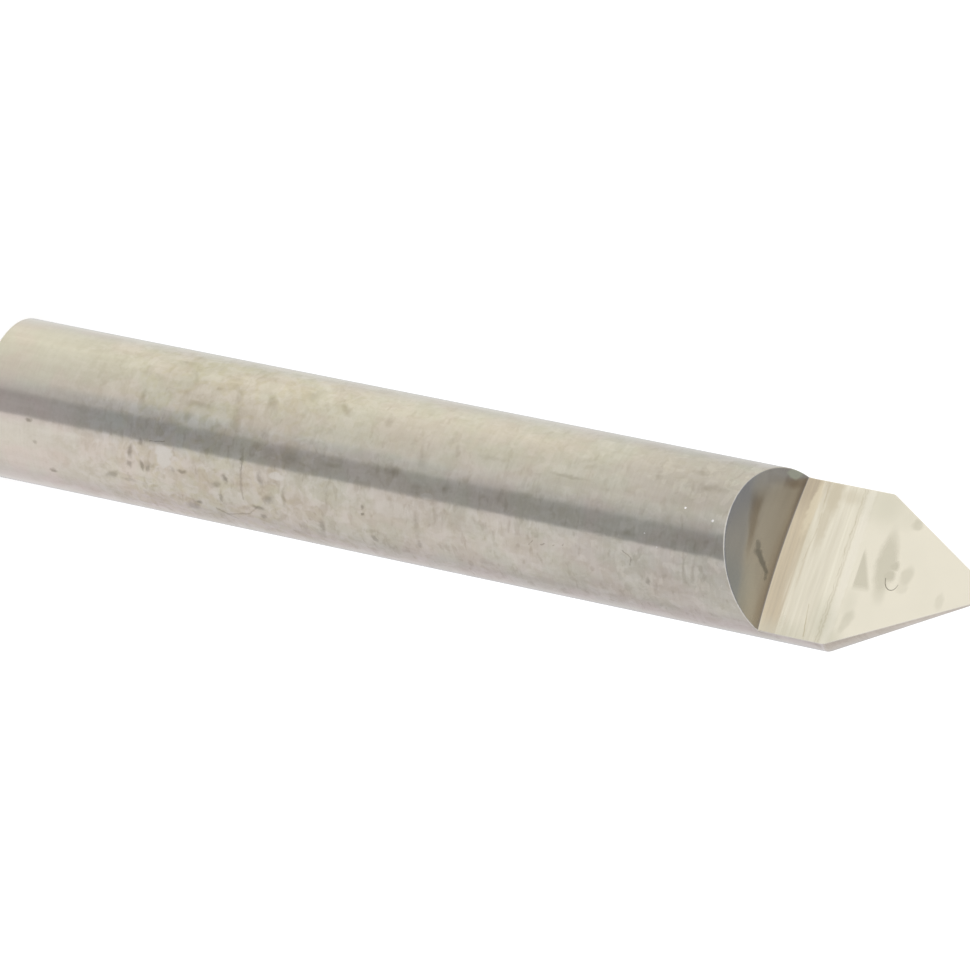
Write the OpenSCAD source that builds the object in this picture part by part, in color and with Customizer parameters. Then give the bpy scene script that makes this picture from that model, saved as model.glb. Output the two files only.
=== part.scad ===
// A half-round V groove router bit, ground in one piece from a carbide bar. It stands on the end of its
// shank, +Z runs up its axis to the point, and the ground flat faces -Y, with the cutting edge on its -X side.

/* [Bar] */
// Diameter of the bar, which a collet of the same size holds
shank_diameter = 7.9375; // [3:0.0125:12]
// Length from the end of the shank to the point
overall_length = 50.8; // [30:0.1:100]
// Size of the broken edge round the end of the shank
end_chamfer = 0.05; // [0.02:0.01:1]

/* [Point] */
// Angle from the axis to the cutting edge, which is half the angle of the groove
cutting_edge_angle = 32.8; // [20:0.1:55]
// Angle from the axis to the trailing edge, less than the cutting edge's so that it clears the groove
trailing_edge_angle = 28.8; // [15:0.1:50]
// Further lean of the cone towards the flat, which relieves the underside of the point
underside_relief_angle = 1.25; // [0:0.05:10]
// Width of the small land across the very point
point_land_width = 0.05; // [0.02:0.01:1]

/* [Flat and run-out] */
// Height of the ground flat over the axis
flat_over_axis = 0.13; // [0:0.01:1]
// Length from the point to the foot of the run-out, measured along the axis
flat_length = 10.5; // [8:0.1:25]
// Radius of the grinding wheel at its face, which curves the foot of the run-out
wheel_radius = 53; // [20:1:150]
// Slope of the wheel's side, from square to the flat
wheel_side_angle = 22.7; // [0:0.1:45]

/* [Hidden] */
$fn = 128;

shank_radius = shank_diameter / 2;

// The cone leans so that its two edges in the plane of the flat stand at their own angles from the axis.
cone_lean_angle = (cutting_edge_angle - trailing_edge_angle) / 2;
mean_edge_angle = (cutting_edge_angle + trailing_edge_angle) / 2;
cone_half_angle = acos(cos(mean_edge_angle) * cos(underside_relief_angle));
// The cone's own tip lies beyond the land, by the height at which its two edges would meet.
cone_tip_z = overall_length + point_land_width / (tan(cutting_edge_angle) + tan(trailing_edge_angle));
// Long enough to reach past the end of the shank when it leans
cone_length = 2 * overall_length;

// The wheel is thicker than the depth of bar that it takes away.
wheel_thickness = shank_diameter;
wheel_centre_z = overall_length - flat_length + wheel_radius;

// The round bar, with its end square to the axis and its edge broken
module ground_bar() {
    rotate_extrude()
        polygon([
            [0, 0],
            [shank_radius - end_chamfer, 0],
            [shank_radius, end_chamfer],
            [shank_radius, overall_length],
            [0, overall_length]
        ]);
}

// The leaning cone that the point is ground to, with its tip in the plane of the flat
module relieved_cone() {
    translate([0, -flat_over_axis, cone_tip_z])
        rotate([-underside_relief_angle, cone_lean_angle, 0])
            translate([0, 0, -cone_length])
                cylinder(h = cone_length, r1 = cone_length * tan(cone_half_angle), r2 = 0);
}

// The space that the grinding wheel sweeps: its face leaves the flat, and its sloping side the run-out
module grinding_wheel() {
    translate([0, -flat_over_axis, wheel_centre_z])
        rotate([90, 0, 0])
            cylinder(
                h = wheel_thickness,
                r1 = wheel_radius,
                r2 = wheel_radius + wheel_thickness * tan(wheel_side_angle)
            );
}

// The whole bit: the bar within the cone, less what the wheel takes
module router_bit() {
    color([0.76, 0.74, 0.69])
        difference() {
            intersection() {
                ground_bar();
                relieved_cone();
            }
            grinding_wheel();
        }
}

router_bit();
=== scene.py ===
"""Looks of a half-round V groove router bit that is ground in one piece from a carbide bar.

The bit stands on the end of its shank, +Z runs up its axis to the point, and the ground flat faces -Y.
Lengths here are in millimetres, and a mesh is turned to metres where it is filled. Angles are written in
degrees. Marks on the surfaces are short lists of places and sizes.
"""

import math

import bpy
import numpy as np
from mathutils import Matrix, Vector


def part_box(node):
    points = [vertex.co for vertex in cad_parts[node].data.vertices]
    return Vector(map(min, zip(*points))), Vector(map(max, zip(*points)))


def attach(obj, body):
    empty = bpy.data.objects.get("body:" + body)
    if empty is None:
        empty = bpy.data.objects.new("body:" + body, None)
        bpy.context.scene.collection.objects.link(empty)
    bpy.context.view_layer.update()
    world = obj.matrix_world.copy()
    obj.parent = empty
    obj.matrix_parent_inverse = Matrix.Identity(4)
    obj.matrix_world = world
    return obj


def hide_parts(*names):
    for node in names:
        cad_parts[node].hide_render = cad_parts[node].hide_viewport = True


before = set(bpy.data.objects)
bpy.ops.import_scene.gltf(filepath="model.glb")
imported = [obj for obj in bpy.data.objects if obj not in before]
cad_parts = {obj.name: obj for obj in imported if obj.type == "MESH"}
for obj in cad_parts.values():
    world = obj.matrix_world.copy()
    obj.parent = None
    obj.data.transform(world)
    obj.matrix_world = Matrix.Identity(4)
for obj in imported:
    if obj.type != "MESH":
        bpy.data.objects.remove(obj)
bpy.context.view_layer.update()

NODE = "router_bit"
BODY = "root"
MM = 0.001

# Sizes of the bit, the first two from the frame
low_corner, high_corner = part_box(NODE)
SHANK_RADIUS = (high_corner.x - low_corner.x) / 2 / MM
OVERALL_LENGTH = high_corner.z / MM
END_CHAMFER = 0.05
CUTTING_EDGE_ANGLE = math.radians(32.8)
TRAILING_EDGE_ANGLE = math.radians(28.8)
UNDERSIDE_RELIEF_ANGLE = math.radians(1.25)
POINT_LAND_WIDTH = 0.05
FLAT_OVER_AXIS = 0.13
FLAT_LENGTH = 10.5
WHEEL_RADIUS = 53.0
WHEEL_SIDE_SLOPE = math.tan(math.radians(22.7))

# How far from each sharp edge its rounding begins
END_EDGE_BREAK = 0.03
SHOULDER_BREAK = 0.04
CUTTING_EDGE_BREAK = 0.022
RIM_BREAK = 0.05
FOOT_FILLET = 0.04
LAND_BREAK = 0.01
# Length beside the foot over which the flat's edges go from the rim's rounding to the cutting edge's
BREAK_CHANGE_LENGTH = 2.0

# The wheel's worn corner leaves the flat a little proud beside the foot. The rise grows with a share that is
# 1 at the foot, and that is held at the limit beyond it.
FOOT_RISE = 0.03
FOOT_RISE_LENGTH = 0.45
FOOT_RISE_LIMIT = 1.2

# How far from an edge its wear and painted highlight reach
EDGE_RUB_AND_HIGHLIGHT_REACH = 0.14

# Places that follow from those sizes
FLAT_HALF_WIDTH = math.sqrt(SHANK_RADIUS**2 - FLAT_OVER_AXIS**2)
FLAT_EDGE_ANGLE = math.acos(FLAT_OVER_AXIS / SHANK_RADIUS)
FOOT_Z = OVERALL_LENGTH - FLAT_LENGTH
WHEEL_CENTRE_Z = FOOT_Z + WHEEL_RADIUS
APEX = np.array(
    [
        0.0,
        -FLAT_OVER_AXIS,
        OVERALL_LENGTH
        + POINT_LAND_WIDTH / (math.tan(CUTTING_EDGE_ANGLE) + math.tan(TRAILING_EDGE_ANGLE)),
    ]
)
CONE_LEAN = (CUTTING_EDGE_ANGLE - TRAILING_EDGE_ANGLE) / 2
CONE_COS = math.cos((CUTTING_EDGE_ANGLE + TRAILING_EDGE_ANGLE) / 2) * math.cos(UNDERSIDE_RELIEF_ANGLE)
CONE_SIN = math.sqrt(1 - CONE_COS**2)
CONE_AXIS = -np.array(
    [
        math.cos(UNDERSIDE_RELIEF_ANGLE) * math.sin(CONE_LEAN),
        math.sin(UNDERSIDE_RELIEF_ANGLE),
        math.cos(UNDERSIDE_RELIEF_ANGLE) * math.cos(CONE_LEAN),
    ]
)


# The bit's surface as distances, negative inside the solid

def smooth_max(a, b, reach):
    """The larger of two distances. Where they differ by less than the reach it is raised, which rounds the
    edge where the two surfaces meet: by a quarter of the reach, times the square of one less their
    difference over the reach."""
    nearness = np.clip(1 - np.abs(a - b) / reach, 0, None)
    return np.maximum(a, b) + reach * nearness * nearness / 4


def blank_distance(p):
    """Distance from the round bar: from its wall, end face, chamfer and land, whichever is outermost."""
    r = np.hypot(p[..., 0], p[..., 1])
    z = p[..., 2]
    chamfer = (r - z - (SHANK_RADIUS - END_CHAMFER)) / math.sqrt(2)
    bar = smooth_max(r - SHANK_RADIUS, chamfer, END_EDGE_BREAK)
    bar = smooth_max(bar, -z, END_EDGE_BREAK)
    return smooth_max(bar, z - OVERALL_LENGTH, LAND_BREAK)


def cone_distance(p):
    """Distance from the leaning cone: its radius at a point times the cosine of its half angle, less the
    point's depth along its axis times the sine."""
    from_apex = p - APEX
    depth = from_apex @ CONE_AXIS
    radius = np.sqrt(np.clip((from_apex * from_apex).sum(-1) - depth**2, 0, None))
    return radius * CONE_COS - depth * CONE_SIN


def wheel_distance(p):
    """Distance into the grinding wheel: the lesser of the depth behind its face, which leaves the flat, and
    the depth behind its sloping side, which leaves the run-out. The flat rises towards the foot by the
    foot's rise times the square of one less the distance from the foot over the rise's length."""
    out = -(p[..., 1] + FLAT_OVER_AXIS)
    from_axis = np.hypot(p[..., 0], p[..., 2] - WHEEL_CENTRE_Z)
    near_foot = np.clip(1 - (WHEEL_RADIUS - from_axis) / FOOT_RISE_LENGTH, 0, FOOT_RISE_LIMIT)
    face = out - FOOT_RISE * near_foot**2
    side = (WHEEL_RADIUS + out * WHEEL_SIDE_SLOPE - from_axis) / math.hypot(1, WHEEL_SIDE_SLOPE)
    return -smooth_max(-face, -side, FOOT_FILLET)


def solid_distance(p):
    """Distance from the whole bit. The edges of the run-out are broken more than the cutting edges."""
    up_the_flat = np.clip((p[..., 2] - FOOT_Z) / BREAK_CHANGE_LENGTH, 0, 1)
    edge_break = RIM_BREAK + (CUTTING_EDGE_BREAK - RIM_BREAK) * up_the_flat
    ground_bar = smooth_max(blank_distance(p), cone_distance(p), SHOULDER_BREAK)
    return smooth_max(ground_bar, wheel_distance(p), edge_break)


NEWTON_STEPS = 6
GRADIENT_STEP = 1e-4
LEAST_SLOPE = 0.05


def settle(p):
    """Moves points onto the rounded surface by Newton steps: each goes back along the gradient of the
    distance by the distance over the gradient's square. The gradient is taken by central differences."""
    for _ in range(NEWTON_STEPS):
        gradient = np.stack(
            [
                (solid_distance(p + offset) - solid_distance(p - offset)) / (2 * GRADIENT_STEP)
                for offset in np.eye(3) * GRADIENT_STEP
            ],
            axis=-1,
        )
        slope = np.clip((gradient**2).sum(-1), LEAST_SLOPE, None)
        p = p - gradient * (solid_distance(p) / slope)[..., None]
    return p


# Spacing of rows and columns, closer together beside an edge

NEAR_STEPS = np.array([0.0012, 0.0025, 0.0045, 0.0075, 0.012])


def spaced(count, near_start=True, near_end=True):
    """Fractions from 0 to 1 in count steps: even, with NEAR_STEPS put in at the ends that meet an edge."""
    start = NEAR_STEPS if near_start else NEAR_STEPS[:0]
    end = NEAR_STEPS if near_end else NEAR_STEPS[:0]
    first = start[-1] if near_start else 0.0
    last = 1 - end[-1] if near_end else 1.0
    middle = np.linspace(first, last, count + 1 - len(start) - len(end))
    lowest = [0.0] if near_start else []
    highest = [1.0] if near_end else []
    return np.concatenate([lowest, start[:-1], middle, 1 - end[-2::-1], highest])


# Numbers of columns and rows in the grids
COLUMNS = 120
ACROSS = spaced(COLUMNS)
EDGE_ROWS = 96
POINT_ROWS = 110
WALL_ROWS = 34
RUN_OUT_ROWS = 52
LAND_ROWS = 6
CHAMFER_ROWS = 8
END_ROWS = 26
# The end face's rows as shares of the way from the chamfer to its middle
TO_THE_MIDDLE = spaced(END_ROWS, near_end=False)[1:]


def wall_spacing():
    """Fractions up the shank's wall: two near rows beside the chamfer, wide rows, and near rows at the rim.
    The wall is about four times as long as the flat, so its near steps are a quarter of the others."""
    near = NEAR_STEPS / 4
    first_row, second_row = 0.0005, 0.001
    middle = np.linspace(second_row, 1 - near[-1], WALL_ROWS)
    return np.concatenate([[0.0, first_row], middle, 1 - near[-2::-1], [1.0]])


# The edges that the surfaces share

def on_wall(angle, z):
    """A point on the bar's wall. The angle is 0 at -Y and grows towards +X."""
    return np.stack([SHANK_RADIUS * np.sin(angle), -SHANK_RADIUS * np.cos(angle), z + 0 * angle], axis=-1)


def foot_line(fractions):
    """The foot of the run-out: an arc of the wheel's radius in the plane of the flat."""
    x = FLAT_HALF_WIDTH * (2 * fractions - 1)
    z = WHEEL_CENTRE_Z - np.sqrt(WHEEL_RADIUS**2 - x**2)
    return np.stack([x, np.full_like(x, -FLAT_OVER_AXIS), z], axis=-1)


def rim_line(fractions):
    """The rim of the run-out: where the wheel's side, wider by its slope times the depth, leaves the wall."""
    angle = FLAT_EDGE_ANGLE * (2 * fractions - 1)
    depth = SHANK_RADIUS * np.cos(angle) - FLAT_OVER_AXIS
    reach = (WHEEL_RADIUS + depth * WHEEL_SIDE_SLOPE) ** 2 - (SHANK_RADIUS * np.sin(angle)) ** 2
    return on_wall(angle, WHEEL_CENTRE_Z - np.sqrt(reach))


def shoulder_line(fractions):
    """The shoulder behind the flat, from the cutting side to the trailing side: where the cone leaves the
    wall. Its height solves a quadratic: seen from the cone's tip, the square of the depth along the cone's
    axis is the square of the half angle's cosine times the square of the distance."""
    angle = -FLAT_EDGE_ANGLE - (2 * math.pi - 2 * FLAT_EDGE_ANGLE) * fractions
    wall = on_wall(angle, 0.0)
    x, y = wall[..., 0], wall[..., 1] + FLAT_OVER_AXIS
    sideways = x * CONE_AXIS[0] + y * CONE_AXIS[1]
    a = CONE_AXIS[2] ** 2 - CONE_COS**2
    b = 2 * sideways * CONE_AXIS[2]
    c = sideways**2 - CONE_COS**2 * (x**2 + y**2)
    below_tip = (-b - np.sqrt(b * b - 4 * a * c)) / (2 * a)
    wall[..., 2] = APEX[2] + below_tip
    return wall


def land_back_line(fractions):
    """The land's rounded side: each point of the shoulder carried along the cone to the land's height."""
    start = shoulder_line(fractions)
    share = (APEX[2] - OVERALL_LENGTH) / (APEX[2] - start[..., 2])
    return APEX + (start - APEX) * share[..., None]


def between(start, end, fractions):
    """Points on the straight line between two points."""
    return start + (end - start) * fractions[:, None]


def chained(first, second):
    """Two lines joined end to end, with their shared point once."""
    return np.concatenate([first, second[1:]])


def shares_along(line):
    """The share of a line's length that lies before each of its points."""
    steps = np.linalg.norm(np.diff(line, axis=0), axis=1)
    return np.concatenate([[0.0], np.cumsum(steps)]) / steps.sum()


def patch(bottom, top, left, right):
    """A grid that fills four border lines: the two blends of opposite borders, less the blend of corners."""
    u = shares_along(bottom)[None, :, None]
    v = shares_along(left)[:, None, None]
    corners = (
        bottom[0] * (1 - u) * (1 - v) + bottom[-1] * u * (1 - v) + top[0] * (1 - u) * v + top[-1] * u * v
    )
    return (
        bottom[None] * (1 - v) + top[None] * v + left[:, None] * (1 - u) + right[:, None] * u - corners
    )


# The order of the bit's materials
SHANK_FINISH, RUN_OUT_FINISH, FLAT_FINISH, POINT_FINISH = range(4)


def end_grid(ring):
    """The end of the shank: the ring drawn in and down over the chamfer, then in to the middle."""
    chamfer_steps = np.linspace(0, 1, CHAMFER_ROWS + 1)
    face_radius = SHANK_RADIUS - END_CHAMFER
    radius = np.concatenate([SHANK_RADIUS - END_CHAMFER * chamfer_steps, face_radius * (1 - TO_THE_MIDDLE)])
    height = np.concatenate([END_CHAMFER * (1 - chamfer_steps), np.zeros(END_ROWS)])
    drawn_in = ring[None, :, :2] * radius[:, None, None] / SHANK_RADIUS
    heights = np.repeat(height[:, None, None], len(ring), axis=1)
    return np.concatenate([drawn_in, heights], axis=-1)


def bit_grids():
    """The bit's surfaces as grids that share their border points, each with its material's number."""
    foot = foot_line(ACROSS)
    rim = rim_line(ACROSS)
    shoulder = shoulder_line(ACROSS)
    even = np.linspace(0, 1, COLUMNS + 1)
    land_back = land_back_line(even)
    land_front = between(land_back[0], land_back[-1], even)

    edge_steps = spaced(EDGE_ROWS, near_end=False)
    point_steps = spaced(POINT_ROWS, near_start=False)
    point_left = between(shoulder[0], land_back[0], point_steps)
    point_right = between(shoulder[-1], land_back[-1], point_steps)
    flat_left = between(foot[0], shoulder[0], edge_steps)
    flat_right = between(foot[-1], shoulder[-1], edge_steps)
    flat = patch(foot, land_front, chained(flat_left, point_left), chained(flat_right, point_right))
    point_side = patch(shoulder, land_back, point_left, point_right)

    run_out_steps = spaced(RUN_OUT_ROWS)[:, None, None]
    run_out = rim[None] * (1 - run_out_steps) + foot[None] * run_out_steps

    ring_front = on_wall(FLAT_EDGE_ANGLE * (2 * ACROSS - 1), END_CHAMFER)
    ring_back = on_wall(-FLAT_EDGE_ANGLE - (2 * math.pi - 2 * FLAT_EDGE_ANGLE) * ACROSS, END_CHAMFER)
    wall_steps = wall_spacing()
    wall_left = between(ring_front[0], rim[0], wall_steps)
    wall_right = between(ring_front[-1], rim[-1], wall_steps)
    wall_front = patch(ring_front, rim, wall_left, wall_right)
    back_left = between(ring_back[0], foot[0], wall_steps)
    back_right = between(ring_back[-1], foot[-1], wall_steps)
    wall_back = patch(
        ring_back, shoulder, chained(back_left, flat_left), chained(back_right, flat_right)
    )

    land_steps = np.linspace(0, 1, LAND_ROWS + 1)[:, None, None]
    land = land_front[None] * (1 - land_steps) + land_back[None] * land_steps
    end = end_grid(chained(ring_front, ring_back[::-1]))
    # Grids that run the other way round are reversed, so that all faces point outwards.
    return [
        (flat, FLAT_FINISH),
        (run_out, RUN_OUT_FINISH),
        (wall_front, SHANK_FINISH),
        (wall_back[:, ::-1], SHANK_FINISH),
        (point_side[:, ::-1], POINT_FINISH),
        (land, POINT_FINISH),
        (end[::-1], SHANK_FINISH),
    ]


def edge_nearness(p, reach):
    """1 on an outer edge and 0 from reach away: the surface there is the outermost of these distances, and
    the next one says how far off the edge is."""
    r = np.hypot(p[..., 0], p[..., 1])
    sides = np.stack(
        [r - SHANK_RADIUS, -p[..., 2], p[..., 2] - OVERALL_LENGTH, cone_distance(p), wheel_distance(p)]
    )
    return np.clip(1 + np.sort(sides, axis=0)[-2] / reach, 0, 1)


def joined_mesh(name, grids):
    """One closed mesh from grids: equal points become one, and faces that lost a side become triangles."""
    points = []
    quads = []
    finishes = []
    start = 0
    for grid, finish in grids:
        rows, columns = grid.shape[:2]
        index = start + np.arange(rows * columns).reshape(rows, columns)
        corner = [index[:-1, :-1], index[:-1, 1:], index[1:, 1:], index[1:, :-1]]
        quads.append(np.stack([c.ravel() for c in corner], axis=-1))
        finishes.append(np.full((rows - 1) * (columns - 1), finish))
        points.append(grid.reshape(-1, 3))
        start += rows * columns
    points = np.concatenate(points)
    quads = np.concatenate(quads)
    finishes = np.concatenate(finishes)
    _, first, same = np.unique(np.round(points, 6), axis=0, return_index=True, return_inverse=True)
    points = points[first]
    quads = same.ravel()[quads]
    repeated = quads == np.roll(quads, -1, axis=1)
    whole = ~repeated.any(axis=1)
    thin = repeated.sum(axis=1) == 1
    triangles = quads[thin][~repeated[thin]].reshape(-1, 3)
    mesh = bpy.data.meshes.new(name)
    faces = [*quads[whole].tolist(), *triangles.tolist()]
    mesh.from_pydata((points * MM).tolist(), [], faces)
    face_finishes = np.concatenate([finishes[whole], finishes[thin]])
    mesh.polygons.foreach_set("material_index", face_finishes.astype(np.int32))
    mesh.polygons.foreach_set("use_smooth", np.ones(len(faces), bool))
    # Nearness to an edge, which leads the bare metal and painted highlight along the edges
    nearness = edge_nearness(points, EDGE_RUB_AND_HIGHLIGHT_REACH)
    mesh.attributes.new("edge", "FLOAT", "POINT").data.foreach_set("value", nearness.astype(np.float32))
    mesh.update()
    return mesh


# Materials

def linear(red, green, blue):
    """A colour of 0 to 255 steps as a shader wants it: each share of 255 plus 0.055, over 1.055, to the
    power 2.4."""
    return tuple(((step / 255 + 0.055) / 1.055) ** 2.4 for step in (red, green, blue)) + (1.0,)


def grey(level):
    return (level, level, level, 1.0)


class Shading:
    """Adds nodes to one node tree. A value that is a socket is joined, and any other value is set."""

    def __init__(self, tree):
        self.tree = tree

    def feed(self, socket, value):
        if isinstance(value, bpy.types.NodeSocket):
            self.tree.links.new(value, socket)
        else:
            socket.default_value = value

    def node(self, kind, inputs=None, **settings):
        made = self.tree.nodes.new(kind)
        for name, value in settings.items():
            setattr(made, name, value)
        for name, value in (inputs or {}).items():
            self.feed(made.inputs[name], value)
        return made

    def number(self, operation, *values, clamp=False):
        made = self.node("ShaderNodeMath", operation=operation, use_clamp=clamp)
        for socket, value in zip(made.inputs, values):
            self.feed(socket, value)
        return made.outputs[0]

    def times(self, first, *others):
        """The product of two or more values."""
        for other in others:
            first = self.number("MULTIPLY", first, other)
        return first

    def plus(self, a, b):
        return self.number("ADD", a, b)

    def minus(self, a, b):
        return self.number("SUBTRACT", a, b)

    def off(self, value, middle):
        """How far a value is from its middle."""
        return self.number("ABSOLUTE", self.minus(value, middle))

    def raised(self, base, value, share):
        """The base plus a share of the value."""
        return self.number("MULTIPLY_ADD", value, share, base)

    def strongest(self, masks):
        """The largest of several masks."""
        largest, *others = masks
        for mask in others:
            largest = self.number("MAXIMUM", largest, mask)
        return largest

    def vector(self, operation, *values):
        made = self.node("ShaderNodeVectorMath", operation=operation)
        for socket, value in zip(made.inputs, values):
            self.feed(socket, value)
        return made.outputs["Value" if operation in ("LENGTH", "DOT_PRODUCT") else "Vector"]

    def scaled(self, vector, factor):
        made = self.node("ShaderNodeVectorMath", operation="SCALE")
        self.feed(made.inputs[0], vector)
        self.feed(made.inputs["Scale"], factor)
        return made.outputs["Vector"]

    def joined(self, x, y, z=0.0):
        return self.node("ShaderNodeCombineXYZ", {"X": x, "Y": y, "Z": z}).outputs[0]

    def split(self, vector):
        return self.node("ShaderNodeSeparateXYZ", {"Vector": vector}).outputs

    def noise(self, vector, scale, detail=2.0, roughness=0.5, distortion=0.0):
        inputs = {"Vector": vector, "Scale": scale, "Detail": detail, "Roughness": roughness}
        return self.node("ShaderNodeTexNoise", {**inputs, "Distortion": distortion}).outputs

    def straight(self, value, start, end, low=0.0, high=1.0, **settings):
        """Goes straight from low to high as the value goes from start to end."""
        inputs = {"Value": value, "From Min": start, "From Max": end, "To Min": low, "To Max": high}
        return self.node("ShaderNodeMapRange", inputs, **settings).outputs[0]

    def smooth(self, value, start, end, low=0.0, high=1.0):
        """Goes from low to high as the value goes from start to end, levelling out at both."""
        return self.straight(value, start, end, low, high, interpolation_type="SMOOTHSTEP")

    def spread(self, noise, low=0.0, high=1.0):
        """Spreads a noise from its usual range, which is 0.3 to 0.7, over low to high."""
        return self.straight(noise, 0.3, 0.7, low, high)

    def blend(self, factor, under, over, kind="MIX"):
        made = self.node("ShaderNodeMix", data_type="RGBA", blend_type=kind)
        self.feed(made.inputs["Factor"], factor)
        self.feed(made.inputs["A"], under)
        self.feed(made.inputs["B"], over)
        return made.outputs["Result"]

    def tint(self, factor, under, colour):
        return self.blend(factor, under, colour, "MULTIPLY")

    def group(self, tree, inputs):
        return self.node("ShaderNodeGroup", inputs, node_tree=tree).outputs

    def bands(self, value, stops):
        """A colour ramp over 0 to 1 from pairs of place and colour."""
        made = self.node("ShaderNodeValToRGB", {"Fac": value})
        elements = made.color_ramp.elements
        while len(elements) < len(stops):
            elements.new(0.5)
        for element, (place, colour) in zip(elements, stops):
            element.position = place
            element.color = (*colour, 1.0)
        return made.outputs["Color"]


def new_group(name, inputs, outputs):
    """A shader node group with named sockets. Gives back its shading, its inputs and its outputs."""
    tree = bpy.data.node_groups.new(name, "ShaderNodeTree")
    for socket_name, kind, value in inputs:
        socket = tree.interface.new_socket(socket_name, in_out="INPUT", socket_type="NodeSocket" + kind)
        if value is not None:
            socket.default_value = value
    for socket_name, kind in outputs:
        tree.interface.new_socket(socket_name, in_out="OUTPUT", socket_type="NodeSocket" + kind)
    start = tree.nodes.new("NodeGroupInput").outputs
    end = tree.nodes.new("NodeGroupOutput").inputs
    return Shading(tree), start, end


def spot_group():
    """A soft-edged oval: 1 inside, falling to 0 across its edge."""
    s, start, end = new_group(
        "spot",
        [
            ("Place", "Vector", None),
            ("Middle", "Vector", (0, 0, 0)),
            ("Half Size", "Vector", (1, 1, 1)),
            ("Turn", "Float", 0.0),
            ("Edge", "Float", 0.35),
        ],
        [("Mask", "Float")],
    )
    from_middle = s.vector("SUBTRACT", start["Place"], start["Middle"])
    turned = s.node(
        "ShaderNodeVectorRotate", {"Vector": from_middle, "Angle": start["Turn"]}, rotation_type="Z_AXIS"
    ).outputs[0]
    far = s.vector("LENGTH", s.vector("DIVIDE", turned, start["Half Size"]))
    inner = s.minus(1.0, start["Edge"])
    outer = s.plus(1.0, start["Edge"])
    s.feed(end["Mask"], s.smooth(far, inner, outer, 1.0, 0.0))
    return s.tree


def stroke_group():
    """A thin line: 1 along it and 0 from its half width away. The nearest place on the line is the start
    plus the span times the clamped share that the place lies along it."""
    s, start, end = new_group(
        "stroke",
        [
            ("Place", "Vector", None),
            ("Start", "Vector", (0, 0, 0)),
            ("Span", "Vector", (1, 0, 0)),
            ("Half Width", "Float", 0.02),
        ],
        [("Mask", "Float")],
    )
    from_start = s.vector("SUBTRACT", start["Place"], start["Start"])
    along = s.vector("DOT_PRODUCT", from_start, start["Span"])
    whole = s.vector("DOT_PRODUCT", start["Span"], start["Span"])
    share = s.number("DIVIDE", along, whole, clamp=True)
    away = s.vector("LENGTH", s.vector("SUBTRACT", from_start, s.scaled(start["Span"], share)))
    core = s.times(start["Half Width"], 0.35)
    s.feed(end["Mask"], s.smooth(away, core, start["Half Width"], 1.0, 0.0))
    return s.tree


def patches_group():
    """Blotches of a noise that stands over a level."""
    s, start, end = new_group(
        "patches",
        [
            ("Place", "Vector", None),
            ("Per Millimetre", "Float", 1.0),
            ("Level", "Float", 0.55),
            ("Edge", "Float", 0.05),
            ("Detail", "Float", 2.0),
        ],
        [("Mask", "Float")],
    )
    value = s.noise(start["Place"], start["Per Millimetre"], start["Detail"], 0.55, 0.4)["Fac"]
    low = s.minus(start["Level"], start["Edge"])
    high = s.plus(start["Level"], start["Edge"])
    s.feed(end["Mask"], s.smooth(value, low, high))
    return s.tree


def grinding_group():
    """Fine lines that a wheel leaves. They run along the second direction of Place, and lie close together
    in the first."""
    s, start, end = new_group(
        "grinding_lines",
        [
            ("Place", "Vector", None),
            ("Lines Per Millimetre", "Float", 8.0),
            ("Line Length", "Float", 4.0),
        ],
        [("Fine", "Float"), ("Broad", "Float")],
    )
    x, y, z = s.split(start["Place"])
    close = s.times(x, start["Lines Per Millimetre"])
    along = s.number("DIVIDE", y, start["Line Length"])
    stretched = s.joined(close, along, s.number("DIVIDE", z, start["Line Length"]))
    s.feed(end["Fine"], s.noise(stretched, 1.0, 2.0, 0.6)["Fac"])
    s.feed(end["Broad"], s.noise(stretched, 0.22, 1.0, 0.5)["Fac"])
    return s.tree


def worn_and_highlit_edge_group():
    """Bare bright metal along the outer edges, broken by a fine noise. It is partly wear and partly a painted
    highlight, where the edges' roundings catch the light.
    """
    s, start, end = new_group(
        "worn_and_highlit_edge",
        [
            ("Place", "Vector", None),
            ("Colour", "Color", (0.8, 0.8, 0.8, 1)),
            ("Worn Metal And Highlight", "Color", linear(230, 227, 219)),
            ("Rub And Highlight", "Float", 0.8),
        ],
        [("Colour", "Color")],
    )
    near = s.node("ShaderNodeAttribute", attribute_name="edge").outputs["Fac"]
    broken = s.spread(s.noise(start["Place"], 5.0, 3.0, 0.6)["Fac"], 0.7, 1.1)
    rubbed_and_highlit = s.times(s.smooth(s.times(near, broken), 0.45, 0.85), start["Rub And Highlight"])
    s.feed(end["Colour"], s.blend(rubbed_and_highlit, start["Colour"], start["Worn Metal And Highlight"]))
    return s.tree


SPOT = spot_group()
STROKE = stroke_group()
PATCHES = patches_group()
GRINDING = grinding_group()
WORN_AND_HIGHLIT_EDGE = worn_and_highlit_edge_group()


def new_metal(name):
    """A bare metal material, with its shading and its Principled shader."""
    material = bpy.data.materials.new(name)
    material.use_nodes = True
    s = Shading(material.node_tree)
    shader = material.node_tree.nodes["Principled BSDF"]
    shader.inputs["Metallic"].default_value = 1.0
    return material, s, shader


def places_on_bit(s):
    """The place on the bit in millimetres, then three places on its surfaces: on the wall the arc from the -Y
    side towards +X and the height, on the flat the place across and the height, and on the run-out the place
    across and the depth out from the flat. The arc is the angle of the place times the shank's radius."""
    place = s.scaled(s.node("ShaderNodeTexCoord").outputs["Object"], 1 / MM)
    x, y, z = s.split(place)
    out = s.times(y, -1.0)
    arc = s.times(s.number("ARCTAN2", x, out), SHANK_RADIUS)
    return place, s.joined(arc, z), s.joined(x, z), s.joined(x, s.minus(out, FLAT_OVER_AXIS))


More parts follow.
